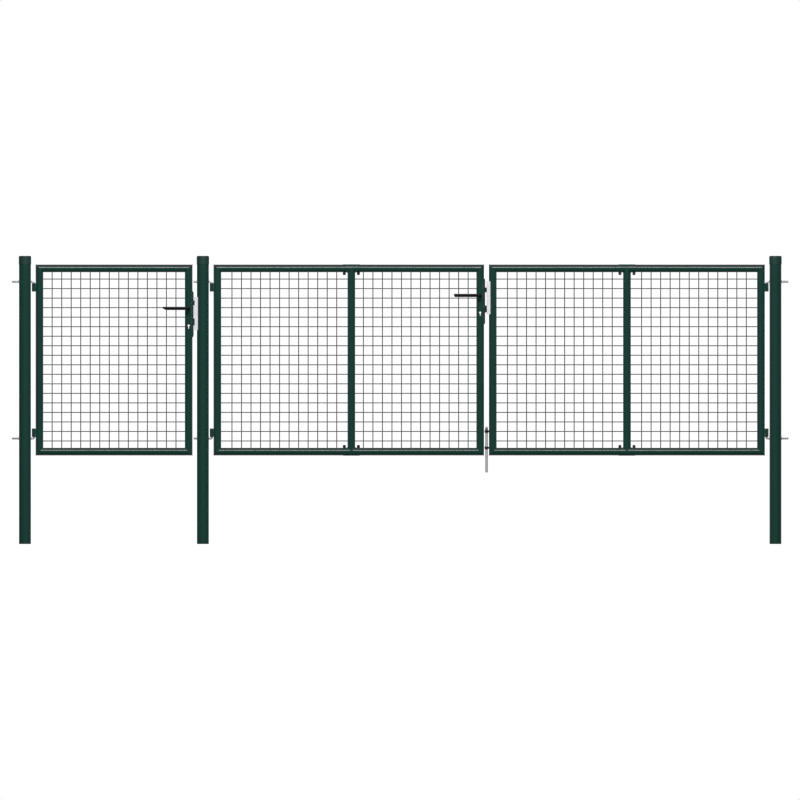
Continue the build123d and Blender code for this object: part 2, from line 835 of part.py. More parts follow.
with BuildPart() as guides:
    for guide_z in (leaf_bottom + lower_guide_height, leaf_bottom + upper_guide_height):
        with BuildSketch(Plane.XY.offset(guide_z - guide_height / 2)):
            with Locations((drop_bolt_x, 0)):
                Circle(guide_od / 2)
        extrude(amount=guide_height)
        with BuildSketch(Plane.XY.offset(guide_z - guide_neck / 2)):
            with Locations(((drop_bolt_x + right_leaf_left + tube_r) / 2, 0)):
                Rectangle(drop_bolt_from_leaf + tube_r, guide_neck)
        extrude(amount=guide_neck)
    with BuildSketch(Plane.XY.offset(leaf_bottom)):
        with Locations((drop_bolt_x, 0)):
            Circle(drop_bolt_r + guide_clearance)
        with Locations((right_leaf_left + tube_r, 0)):
            Circle(tube_r + weld_gap)
    extrude(amount=upper_guide_height + guide_height, mode=Mode.SUBTRACT)
save(guides, "right_drop_bolt_guides")
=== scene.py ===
"""Looks for the three-post field gate: finishes, welds, threads, levers, screws and studio."""

import json
import logging
import math
from dataclasses import dataclass, field
from enum import Enum
from typing import Any, Callable, Dict, Iterable, List, Sequence, Tuple, Union

import bmesh
import bpy
from mathutils import Matrix, Vector


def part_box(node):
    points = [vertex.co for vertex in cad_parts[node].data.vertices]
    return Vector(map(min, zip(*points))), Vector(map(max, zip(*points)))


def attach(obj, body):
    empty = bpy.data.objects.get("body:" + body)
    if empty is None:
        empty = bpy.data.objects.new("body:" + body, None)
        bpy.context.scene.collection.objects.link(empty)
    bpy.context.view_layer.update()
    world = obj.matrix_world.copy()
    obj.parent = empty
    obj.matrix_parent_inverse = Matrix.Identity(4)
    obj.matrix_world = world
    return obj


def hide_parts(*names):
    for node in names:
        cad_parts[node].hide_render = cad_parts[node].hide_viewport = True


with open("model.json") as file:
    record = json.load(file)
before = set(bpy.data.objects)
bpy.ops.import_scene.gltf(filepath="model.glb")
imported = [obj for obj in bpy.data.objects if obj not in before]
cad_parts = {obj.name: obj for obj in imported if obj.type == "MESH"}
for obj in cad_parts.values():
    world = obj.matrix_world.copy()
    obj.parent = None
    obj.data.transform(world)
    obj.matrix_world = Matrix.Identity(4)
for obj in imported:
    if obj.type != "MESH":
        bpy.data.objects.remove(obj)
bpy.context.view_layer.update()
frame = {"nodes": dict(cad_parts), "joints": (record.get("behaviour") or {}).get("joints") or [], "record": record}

log = logging.getLogger("gate")

Colour = Tuple[float, float, float]
Point = Tuple[float, float, float]
Box = Tuple[Vector, Vector]

# Weld beads: ripple spacing in bead radii and the swell of each ripple.
RIPPLE = 1.3
SWELL = 0.16
# Radius of the weld at a crossing of two wires, in metres.
NUGGET = 0.0023


# ------------------------------------------------------------------ shader language
class Field:
    """One shader value that takes part in Python arithmetic."""

    def __init__(self, shader: "Shader", socket: bpy.types.NodeSocket) -> None:
        """Wrap an output socket of a shader's tree."""
        self.shader = shader
        self.socket = socket

    def _math(self, operation: str, first: "Term", second: "Term") -> "Field":
        """Add one Math node and return its result."""
        made = self.shader.node(
            "ShaderNodeMath", {"operation": operation}, {0: first, 1: second}
        )
        return Field(self.shader, made.outputs[0])

    def __add__(self, other: "Term") -> "Field":
        """Return self + other."""
        return self._math("ADD", self, other)

    def __radd__(self, other: "Term") -> "Field":
        """Return other + self."""
        return self._math("ADD", other, self)

    def __sub__(self, other: "Term") -> "Field":
        """Return self - other."""
        return self._math("SUBTRACT", self, other)

    def __rsub__(self, other: "Term") -> "Field":
        """Return other - self."""
        return self._math("SUBTRACT", other, self)

    def __mul__(self, other: "Term") -> "Field":
        """Return self * other."""
        return self._math("MULTIPLY", self, other)

    def __rmul__(self, other: "Term") -> "Field":
        """Return other * self."""
        return self._math("MULTIPLY", other, self)

    def __pow__(self, other: "Term") -> "Field":
        """Return self to the power of other."""
        return self._math("POWER", self, other)

    def above(self, low: float, high: float) -> "Field":
        """Return 0 below low, 1 above high and a smooth step between them."""
        made = self.shader.node(
            "ShaderNodeMapRange",
            {"interpolation_type": "SMOOTHSTEP"},
            {"Value": self, "From Min": low, "From Max": high},
        )
        return Field(self.shader, made.outputs["Result"])


Term = Union[Field, float]


class Shader:
    """A material's node tree around one Principled shader."""

    def __init__(self, name: str) -> None:
        """Start an empty material of that name."""
        self.material = bpy.data.materials.new(name)
        self.material.use_nodes = True
        self.tree = self.material.node_tree
        self.principled = self.tree.nodes["Principled BSDF"]
        self.place = self.node("ShaderNodeTexCoord").outputs["Object"]

    def node(
        self,
        kind: str,
        settings: Dict[str, Any] | None = None,
        sockets: Dict[Any, Any] | None = None,
    ) -> bpy.types.Node:
        """Add a node.

        Args:
            kind: The node's Blender type.
            settings: Properties of the node, set first.
            sockets: Values or links of its inputs, by name or number.

        Returns:
            The new node.
        """
        made = self.tree.nodes.new(kind)
        for key, value in (settings or {}).items():
            setattr(made, key, value)
        for key, value in (sockets or {}).items():
            self.feed(made.inputs[key], value)
        return made

    def feed(self, target: bpy.types.NodeSocket, value: Any) -> None:
        """Link a field or a socket to an input, or set its value."""
        if isinstance(value, Field):
            self.tree.links.new(value.socket, target)
        elif isinstance(value, bpy.types.NodeSocket):
            self.tree.links.new(value, target)
        else:
            target.default_value = value

    def noise(self, scale: float, detail: float = 2.0) -> Field:
        """Return soft noise about 0.5.

        Args:
            scale: Features in a metre.
            detail: Octaves of finer noise on top.

        Returns:
            The noise as a field.
        """
        made = self.node(
            "ShaderNodeTexNoise", {}, {"Vector": self.place, "Scale": scale, "Detail": detail}
        )
        return Field(self, made.outputs["Fac"])

    def cells(self, scale: float) -> Field:
        """Return one random value for each cell of a crystal pattern."""
        made = self.node("ShaderNodeTexVoronoi", {}, {"Vector": self.place, "Scale": scale})
        grey = self.node("ShaderNodeSeparateColor", {}, {0: made.outputs["Color"]})
        return Field(self, grey.outputs[0])

    def facing_up(self) -> Field:
        """Return the upward part of the surface's normal."""
        normal = self.node("ShaderNodeNewGeometry").outputs["Normal"]
        parts = self.node("ShaderNodeSeparateXYZ", {}, {0: normal})
        return Field(self, parts.outputs["Z"])

    def blend(self, amount: Term, low: Colour, high: Colour) -> bpy.types.NodeSocket:
        """Mix two colours by a field and return the colour."""
        made = self.node(
            "ShaderNodeMix",
            {"data_type": "RGBA"},
            {"Factor": amount, 6: (*low, 1.0), 7: (*high, 1.0)},
        )
        return made.outputs[2]

    def tint(
        self, amount: Term, under: bpy.types.NodeSocket, over: Colour
    ) -> bpy.types.NodeSocket:
        """Lay a colour over a colour socket by a field and return the colour."""
        made = self.node(
            "ShaderNodeMix",
            {"data_type": "RGBA"},
            {"Factor": amount, 6: under, 7: (*over, 1.0)},
        )
        return made.outputs[2]

    def bump(self, height: Field, depth: float, strength: float = 1.0) -> None:
        """Raise the surface by a field, depth metres at most."""
        made = self.node(
            "ShaderNodeBump", {}, {"Height": height, "Distance": depth, "Strength": strength}
        )
        self.feed(self.principled.inputs["Normal"], made.outputs[0])

    def set(self, **values: Any) -> None:
        """Set or link inputs of the Principled shader; underscores stand for spaces."""
        for key, value in values.items():
            self.feed(self.principled.inputs[key.replace("_", " ")], value)


def shade(colour: Colour, factor: float) -> Colour:
    """Return a colour made lighter or darker by a factor."""
    return tuple(min(1.0, part * factor) for part in colour)


# ------------------------------------------------------------------ finishes
@dataclass(frozen=True)
class PowderCoat:
    """Baked powder on steel: orange peel, slight cloudiness and a film of dust."""

    name: str
    colour: Colour
    roughness: float = 0.30
    specular: float = 0.5
    peel_per_metre: float = 420.0
    peel_depth: float = 0.00002
    cloud: float = 0.10
    dust: float = 0.03
    dust_colour: Colour = (0.22, 0.22, 0.19)

    def material(self) -> bpy.types.Material:
        """Return the finish as a material."""
        shader = Shader(self.name)
        cloud = shader.noise(2.5, 3.0)
        grain = shader.noise(150.0, 4.0)
        peel = shader.noise(self.peel_per_metre, 2.0)
        low = shade(self.colour, 1.0 - self.cloud)
        high = shade(self.colour, 1.0 + self.cloud)
        paint = shader.blend(cloud * 0.6 + grain * 0.4, low, high)
        film = shader.facing_up().above(0.2, 1.0) * shader.noise(35.0, 4.0).above(0.42, 0.8)
        shader.set(
            Base_Color=shader.tint(film * self.dust, paint, self.dust_colour),
            Roughness=cloud * 0.06 + grain * 0.05 + film * 0.2 + (self.roughness - 0.05),
            Specular_IOR_Level=self.specular,
        )
        shader.bump(peel * 0.8 + grain * 0.2, self.peel_depth)
        return shader.material


@dataclass(frozen=True)
class Plating:
    """Zinc or bare steel: crystal patches, fine scratches and dull spots."""

    name: str
    colour: Colour
    roughness: float = 0.36
    cells_per_metre: float = 220.0
    patch: float = 0.10
    metallic: float = 1.0

    def material(self) -> bpy.types.Material:
        """Return the finish as a material."""
        shader = Shader(self.name)
        crystal = shader.cells(self.cells_per_metre)
        cloud = shader.noise(30.0, 4.0)
        scratches = shader.noise(900.0, 2.0)
        mix = crystal * 0.35 + cloud * 0.4 + scratches * 0.25
        dull = shader.noise(60.0, 5.0).above(0.62, 0.78)
        low = shade(self.colour, 1.0 - self.patch)
        high = shade(self.colour, 1.0 + self.patch)
        shader.set(
            Base_Color=shader.blend(mix, low, high),
            Roughness=mix * 0.16 + dull * 0.12 + (self.roughness - 0.08),
            Metallic=self.metallic,
        )
        shader.bump(scratches * 0.6 + crystal * 0.4, 0.00005)
        return shader.material


@dataclass(frozen=True)
class Moulding:
    """Moulded plastic with a fine spark-eroded grain."""

    name: str
    colour: Colour
    roughness: float = 0.42
    specular: float = 0.5
    grain_per_metre: float = 1400.0
    grain_depth: float = 0.00003

    def material(self) -> bpy.types.Material:
        """Return the finish as a material."""
        shader = Shader(self.name)
        grain = shader.noise(self.grain_per_metre, 3.0)
        cloud = shader.noise(40.0, 3.0)
        rubbed = shader.noise(12.0, 4.0).above(0.5, 0.75)
        low = shade(self.colour, 0.9)
        high = shade(self.colour, 1.15)
        shader.set(
            Base_Color=shader.blend(cloud * 0.7 + grain * 0.3, low, high),
            Roughness=grain * 0.12 - rubbed * 0.06 + (self.roughness - 0.04),
            Specular_IOR_Level=self.specular,
        )
        shader.bump(grain, self.grain_depth)
        return shader.material


@dataclass(frozen=True)
class WireCoat:
    """Plastic-coated wire: smooth, slightly uneven along its length."""

    name: str
    colour: Colour
    roughness: float = 0.38

    def material(self) -> bpy.types.Material:
        """Return the finish as a material."""
        shader = Shader(self.name)
        run = shader.noise(90.0, 3.0)
        grain = shader.noise(1100.0, 2.0)
        shader.set(
            Base_Color=shader.blend(
                run * 0.7 + grain * 0.3, shade(self.colour, 0.85), shade(self.colour, 1.2)
            ),
            Roughness=run * 0.1 + grain * 0.06 + (self.roughness - 0.08),
        )
        shader.bump(run * 0.7 + grain * 0.3, 0.00004)
        return shader.material


@dataclass(frozen=True)
class PaleFloor:
    """Plain pale studio floor with a trace of mottling."""

    name: str = "pale_floor"
    colour: Colour = (0.80, 0.80, 0.79)

    def material(self) -> bpy.types.Material:
        """Return the finish as a material."""
        shader = Shader(self.name)
        cloud = shader.noise(1.2, 4.0)
        shader.set(
            Base_Color=shader.blend(cloud, shade(self.colour, 0.98), shade(self.colour, 1.02)),
            Roughness=cloud * 0.1 + 0.6,
        )
        return shader.material


class Finish(Enum):
    """The finishes of the gate, by the record's material slot."""

    POST = "post_paint"
    FRAME = "frame_paint"
    CAP = "cap_plastic"
    DARK = "dark_paint"
    WIRE = "wire_coat"
    ZINC = "zinc"
    KEEP = "keep_zinc"
    STEEL = "lock_steel"
    LEVER = "lever_plastic"


GREEN: Colour = (0.0044, 0.0330, 0.0216)

RECIPES: Dict[Finish, Any] = {
    Finish.POST: PowderCoat("green_post_coat", GREEN, roughness=0.22),
    Finish.FRAME: PowderCoat("green_frame_coat", GREEN, roughness=0.16),
    Finish.CAP: Moulding("green_cap_plastic", shade(GREEN, 1.08), roughness=0.34),
    Finish.DARK: PowderCoat("dark_hardware_coat", (0.0033, 0.0066, 0.0054), roughness=0.30),
    Finish.WIRE: WireCoat("dark_wire_coat", (0.0068, 0.0106, 0.0094)),
    Finish.ZINC: Plating("zinc_plate", (0.60, 0.60, 0.61), roughness=0.48, metallic=0.35),
    Finish.KEEP: Plating("bright_zinc_plate", (0.64, 0.63, 0.64), roughness=0.5, metallic=0.2),
    Finish.STEEL: Plating("plain_steel", (0.38, 0.38, 0.38), roughness=0.40),
    Finish.LEVER: Moulding("black_lever_plastic", (0.002, 0.002, 0.002), specular=0.06),
}


class Wardrobe:
    """Makes each finish once and dresses pieces and CAD nodes in it."""

    def __init__(self) -> None:
        """Make the materials of all the finishes."""
        self.materials = {finish: RECIPES[finish].material() for finish in Finish}

    def dress(self, piece: bpy.types.Object, finish: Finish) -> None:
        """Put one finish on a whole object."""
        piece.data.materials.clear()
        piece.data.materials.append(self.materials[finish])

    def dress_frame(self) -> None:
        """Dress every CAD node in the finish of its slot."""
        slots = {row["node"]: row["material_slot"] for row in frame["record"]["subparts"]}
        for node, piece in frame["nodes"].items():
            self.dress(piece, Finish(slots[node]))
        log.info("dressed %d nodes", len(slots))


# ------------------------------------------------------------------ mesh making
def turned(axis: Vector) -> Matrix:
    """Return the rotation that takes +Z to an axis."""
    return axis.to_track_quat("Z", "Y").to_matrix().to_4x4()


def at(place: Vector, axis: Vector = Vector((0, 0, 1))) -> Matrix:
    """Return the matrix that stands +Z along an axis at a place."""
    return Matrix.Translation(place) @ turned(axis)


def solid_boxes(node: str) -> List[Box]:
    """Return the corners of every separate solid of a CAD node, from left to right."""
    mesh = bmesh.new()
    mesh.from_mesh(frame["nodes"][node].data)
    bmesh.ops.remove_doubles(mesh, verts=mesh.verts, dist=1e-6)
    boxes, seen = [], set()
    for first in mesh.verts:
        if first in seen:
            continue
        seen.add(first)
        solid, waiting = [], [first]
        while waiting:
            vert = waiting.pop()
            solid.append(vert.co)
            for edge in vert.link_edges:
                other = edge.other_vert(vert)
                if other not in seen:
                    seen.add(other)
                    waiting.append(other)
        low = Vector([min(co[i] for co in solid) for i in range(3)])
        high = Vector([max(co[i] for co in solid) for i in range(3)])
        boxes.append((low, high))
    mesh.free()
    return sorted(boxes, key=lambda box: (box[0].x, box[0].z))


def middle(box: Box) -> Vector:
    """Return the middle of a box."""
    return (box[0] + box[1]) / 2


class Piece:
    """A new mesh that is built by operators and then rides on a body."""

    def __init__(self, name: str) -> None:
        """Start an empty mesh."""
        self.name = name
        self.mesh = bmesh.new()

    def finish(
        self,
        wardrobe: Wardrobe,
        coat: Finish,
        body: str,
        replaced: Sequence[str] = (),
        sharp_degrees: float = 35.0,
    ) -> bpy.types.Object:
        """Turn the mesh into an object, dress it and give it to its body.

        Args:
            wardrobe: The finishes.
            coat: The finish of the piece.
            body: The CAD body that it moves with.
            replaced: CAD nodes that it stands for.
            sharp_degrees: Edges that turn by more than this stay sharp.

        Returns:
            The object, at the origin.
        """
        bmesh.ops.remove_doubles(self.mesh, verts=self.mesh.verts, dist=1e-6)
        bmesh.ops.recalc_face_normals(self.mesh, faces=self.mesh.faces)
        data = bpy.data.meshes.new(self.name)
        self.mesh.to_mesh(data)
        self.mesh.free()
        data.shade_smooth()
        data.set_sharp_from_angle(angle=math.radians(sharp_degrees))
        made = bpy.data.objects.new(self.name, data)
        bpy.context.scene.collection.objects.link(made)
        wardrobe.dress(made, coat)
        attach(made, body)
        if replaced:
            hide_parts(*replaced)
        log.info("%s: %d faces", self.name, len(data.polygons))
        return made

    def move(self, verts: Iterable[bmesh.types.BMVert], place: Matrix) -> None:
        """Move new vertices by a matrix."""
        bmesh.ops.transform(self.mesh, matrix=place, verts=list(verts))

    def repeat(self, verts: Sequence[bmesh.types.BMVert], offsets: Iterable[Vector]) -> None:
        """Copy a finished shell of this mesh to other places.

        Args:
            verts: The shell's vertices.
            offsets: Where each copy goes, measured from the shell.
        """
        faces = {face for vert in verts for face in vert.link_faces}
        edges = {edge for vert in verts for edge in vert.link_edges}
        shell = list(verts) + list(edges) + list(faces)
        for offset in offsets:
            made = bmesh.ops.duplicate(self.mesh, geom=shell)["geom"]
            copies = [item for item in made if isinstance(item, bmesh.types.BMVert)]
            bmesh.ops.translate(self.mesh, vec=offset, verts=copies)

    def chain(self, points: Sequence[Point]) -> List[Any]:
        """Draw an open line through points and return its vertices and edges."""
        first = bmesh.ops.create_vert(self.mesh, co=points[0])["vert"]
        verts, edges = list(first), []
        for point in points[1:]:
            made = bmesh.ops.extrude_vert_indiv(self.mesh, verts=[verts[-1]])
            made["verts"][0].co = Vector(point)
            verts.append(made["verts"][0])
            edges.extend(made["edges"])
        return verts + edges

    def lathe(
        self, profile: Sequence[Tuple[float, float]], place: Matrix, steps: int = 40
    ) -> List[bmesh.types.BMVert]:
        """Turn a profile of (radius, height) pairs round the place's Z.

        Args:
            profile: The line to turn, from foot to top.
            place: Where its axis stands.
            steps: Sides of the turned shape.

        Returns:
            The new vertices.
        """
        before = set(self.mesh.verts)
        line = self.chain([(radius, 0.0, height) for radius, height in profile])
        bmesh.ops.spin(
            self.mesh,
            geom=line,
            cent=(0, 0, 0),
            axis=(0, 0, 1),
            angle=2 * math.pi,
            steps=steps,
            use_merge=True,
        )
        made = [vert for vert in self.mesh.verts if vert not in before]
        self.move(made, place)
        return made

    def prism(
        self,
        sides: int,
        radius: float,
        height: float,
        place: Matrix,
        rounded: float = 0.0,
        rounds: int = 2,
    ) -> None:
        """Add a closed prism that stands on the place along its Z.

        Args:
            sides: Number of sides, more than four.
            radius: Distance from the axis to a corner.
            height: Height along local Z.
            place: Where it stands.
            rounded: Size of the bevel of both rims.
            rounds: Segments of that bevel.
        """
        verts = bmesh.ops.create_cone(
            self.mesh,
            cap_ends=True,
            segments=sides,
            radius1=radius,
            radius2=radius,
            depth=height,
            matrix=place @ Matrix.Translation((0, 0, height / 2)),
        )["verts"]
        if rounded:
            faces = {face for vert in verts for face in vert.link_faces}
            caps = [face for face in faces if len(face.verts) == sides]
            rims = list({edge for face in caps for edge in face.edges})
            bmesh.ops.bevel(
                self.mesh,
                geom=rims,
                offset=rounded,
                segments=rounds,
                profile=0.5,
                affect="EDGES",
                material=-1,
            )

    def ring(self, radius: float, segments: int, place: Matrix) -> List[bmesh.types.BMEdge]:
        """Draw a circle in the place's XY plane and return its edges."""
        verts = bmesh.ops.create_circle(
            self.mesh, segments=segments, radius=radius, matrix=place
        )["verts"]
        return list({edge for vert in verts for edge in vert.link_edges})

    def extend(
        self,
        ring: Sequence[bmesh.types.BMEdge],
        by: Vector,
        scale: Vector | float = 1.0,
    ) -> List[bmesh.types.BMEdge]:
        """Extrude an open ring.

        Args:
            ring: The ring's edges.
            by: How far it goes.
            scale: Growth of the new ring about its own middle.

        Returns:
            The new ring's edges.
        """
        made = bmesh.ops.extrude_edge_only(self.mesh, edges=list(ring))["geom"]
        verts = [item for item in made if isinstance(item, bmesh.types.BMVert)]
        bmesh.ops.translate(self.mesh, vec=by, verts=verts)
        centre = sum((vert.co for vert in verts), Vector()) / len(verts)
        growth = scale if isinstance(scale, Vector) else Vector((scale, scale, scale))
        bmesh.ops.scale(
            self.mesh, vec=growth, space=Matrix.Translation(-centre), verts=verts
        )
        new = set(verts)
        return [
            item
            for item in made
            if isinstance(item, bmesh.types.BMEdge) and all(v in new for v in item.verts)
        ]

    def close(self, ring: Sequence[bmesh.types.BMEdge]) -> List[bmesh.types.BMFace]:
        """Fill a ring with one face."""
        return bmesh.ops.contextual_create(self.mesh, geom=list(ring))["faces"]

    def bead_ring(
        self,
        radius: float,
        bead: float,
        place: Matrix,
        stretch: float = 1.0,
        drape: Callable[[float], float] | None = None,
    ) -> None:
        """Lay a rippled bead round a circle, an ellipse or a saddle.

        Args:
            radius: Radius of the circle, or of the ellipse's short side.
            bead: Radius of the bead.
            place: Where the circle's centre and axis go.
            stretch: The ellipse's long radius over its short one, along local X.
            drape: Height along the axis for an angle round it.
        """
        ripples = max(8, round(2 * math.pi * radius / (bead * RIPPLE)))
        made = self.sleeve_grid(ripples * 4)
        for vert in made:
            round_bead, share = vert.co.x * 2 * math.pi, vert.co.y * 2 * math.pi
            thick = bead * (1 + SWELL * math.cos(share * ripples))
            out = radius + thick * math.cos(round_bead)
            lift = drape(share) if drape else 0.0
            vert.co = Vector(
                (
                    out * math.cos(share),
                    out * math.sin(share),
                    thick * math.sin(round_bead) + lift,
                )
            )
        self.move(made, place @ Matrix.Diagonal((stretch, 1, 1, 1)))

    def bead_seam(self, start: Vector, end: Vector, bead: float) -> None:
        """Lay a straight rippled bead from start to end, rounded at both ends."""
        along = end - start
        ripples = max(2, round(along.length / (bead * RIPPLE)))
        made = self.sleeve_grid(ripples * 4)
        for vert in made:
            round_bead, share = vert.co.x * 2 * math.pi, vert.co.y + 0.5
            from_end = min(share, 1 - share) * along.length / bead
            cap = math.sqrt(max(0.0, 1 - max(0.0, 1 - from_end) ** 2))
            thick = bead * cap * (1 + SWELL * math.cos(2 * math.pi * ripples * share))
            vert.co = Vector(
                (
                    thick * math.cos(round_bead),
                    thick * math.sin(round_bead),
                    share * along.length,
                )
            )
        self.move(made, at(start, along))

    def sleeve_grid(self, steps: int) -> List[bmesh.types.BMVert]:
        """Add a one by one grid, eight faces wide and so many long, to roll into a bead."""
        return bmesh.ops.create_grid(
            self.mesh, x_segments=8, y_segments=steps, size=0.5
        )["verts"]


def saddle(reach: float, tube: float) -> Callable[[float], float]:
    """Return the height of a round tube's wall under a ring that stands on it.

    Args:
        reach: Radius of the ring.
        tube: Radius of the tube, which runs along the ring's local X.

    Returns:
        Height over the tube's axis for an angle round the ring.
    """
    return lambda angle: math.sqrt(tube**2 - (reach * math.sin(angle)) ** 2)


# ------------------------------------------------------------------ hinges
@dataclass
class Thread:
    """A rolled metric thread that is cut as a real helix."""

    crest: float = 0.005
    depth: float = 0.0009
    pitch: float = 0.0015
    steps: int = 20

    def build(self, piece: Piece, start: Vector, along: Vector) -> None:
        """Add a closed threaded rod.

        Args:
            piece: The piece that it is added to.
            start: One end of the rod's axis.
            along: The way to the other end, as long as the rod.
        """
        turns = round(along.length / self.pitch) - 1
        pitch = along.length / (turns + 1)
        root = self.crest - self.depth
        before = set(piece.mesh.verts)
        flank = ((root, 0.0), (self.crest, 0.40), (self.crest, 0.55), (root, 0.95))
        line = piece.chain([(radius, 0.0, share * pitch) for radius, share in flank])
        bmesh.ops.spin(
            piece.mesh,
            geom=line,
            cent=(0, 0, 0),
            axis=(0, 0, 1),
            dvec=(0, 0, pitch / self.steps),
            angle=2 * math.pi,
            steps=self.steps,
            use_merge=False,
        )
        turn = [vert for vert in piece.mesh.verts if vert not in before]
        piece.repeat(turn, [Vector((0, 0, i * pitch)) for i in range(1, turns)])
        made = [vert for vert in piece.mesh.verts if vert not in before]
        piece.move(made, at(start, along))
        core = root + self.depth * 0.03
        tip = core - 0.001
        piece.lathe(
            (
                (0, 0),
                (tip, 0),
                (core, 0.001),
                (core, along.length - 0.001),
                (tip, along.length),
                (0, along.length),
            ),
            at(start, along),
            32,
        )


@dataclass
class HookSet:
    """The two threaded hooks of one post and the welds of its bushes."""

    wardrobe: Wardrobe
    post: str
    joint: str
    rod_radius: float = 0.005
    bend_radius: float = 0.0064
    collar_radius: float = 0.0075
    collar_height: float = 0.0025
    pin_chamfer: float = 0.001
    bush_radius: float = 0.008
    bead: float = 0.0012
    thread: Thread = field(default_factory=Thread)

    def build(self) -> None:
        """Build the hooks and the welds round the bushes."""
        post_low, post_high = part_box(self.post)
        post_x = (post_low.x + post_high.x) / 2
        joint = next(row for row in frame["joints"] if row["name"] == self.joint)
        axis_x = joint["pos_m"][0]
        side = 1 if axis_x > post_x else -1
        hooks = Piece(self.post + "_threaded_hooks")
        welds = Piece(self.post + "_bush_welds")
        ring = self.bush_radius + self.bead * 0.4
        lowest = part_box(self.post + "_hooks")[0].z
        for low, high in solid_boxes(self.post + "_hooks"):
            up = 1 if abs(low.z - lowest) < self.rod_radius else -1
            rod_z = low.z + self.rod_radius if up > 0 else high.z - self.rod_radius
            pin_end = high.z if up > 0 else low.z
            far_x = low.x if side > 0 else high.x
            self.hook(hooks, Vector((far_x, 0, rod_z)), axis_x, side, up, pin_end)
            for way in (-1, 1):
                place = at(Vector((post_x, 0, rod_z)), Vector((way, 0, 0)))
                spin_x = Matrix.Rotation(self.quarter(place), 4, "Z")
                radius = (post_high.x - post_low.x) / 2
                welds.bead_ring(ring, self.bead, place @ spin_x, drape=saddle(ring, radius))
        hooks.finish(
            self.wardrobe, Finish.ZINC, "posts", [self.post + "_hooks"], sharp_degrees=40
        )
        welds.finish(self.wardrobe, Finish.POST, "posts", sharp_degrees=80)

    @staticmethod
    def quarter(place: Matrix) -> float:
        """Return the turn about local Z that lays local X along the upright post."""
        local = place.to_3x3().inverted() @ Vector((0, 0, 1))
        return math.atan2(local.y, local.x)

    def hook(
        self, piece: Piece, start: Vector, axis_x: float, side: int, up: int, pin_end: float
    ) -> None:
        """Add one hook: threaded rod, bend, collar and pin.

        Args:
            piece: The piece that it is added to.
            start: The rod's free end.
            axis_x: X of the pin's axis.
            side: The way from the post to the pin along X.
            up: 1 if the pin points up, -1 if it points down.
            pin_end: Height of the pin's free end.
        """
        bend_x = axis_x - side * self.bend_radius
        self.thread.build(piece, start, Vector((bend_x - side * 0.002 - start.x, 0, 0)))
        root = Vector((bend_x - side * 0.004, 0, start.z))
        ring = piece.ring(self.rod_radius, 32, at(root, Vector((side, 0, 0))))
        piece.close(ring)
        ring = piece.extend(ring, Vector((side * 0.004, 0, 0)))
        last = bmesh.ops.spin(
            piece.mesh,
            geom=ring + list({vert for edge in ring for vert in edge.verts}),
            cent=(bend_x, 0, start.z + up * self.bend_radius),
            axis=(0, -side * up, 0),
            angle=math.pi / 2,
            steps=12,
        )["geom_last"]
        ring = [item for item in last if isinstance(item, bmesh.types.BMEdge)]
        length = abs(pin_end - start.z) - self.bend_radius - self.pin_chamfer
        ring = piece.extend(ring, Vector((0, 0, up * length)))
        tip = 1 - self.pin_chamfer / self.rod_radius
        ring = piece.extend(ring, Vector((0, 0, up * self.pin_chamfer)), tip)
        piece.close(ring)
        foot = Vector((axis_x, 0, start.z + up * self.bend_radius))
        edge = 0.0004
        piece.lathe(
            (
                (self.rod_radius * 0.9, 0),
                (self.collar_radius - edge, 0),
                (self.collar_radius, edge),
                (self.collar_radius, self.collar_height - edge),
                (self.collar_radius - edge, self.collar_height),
                (self.rod_radius * 0.9, self.collar_height),
            ),
            at(foot, Vector((0, 0, up))),
        )


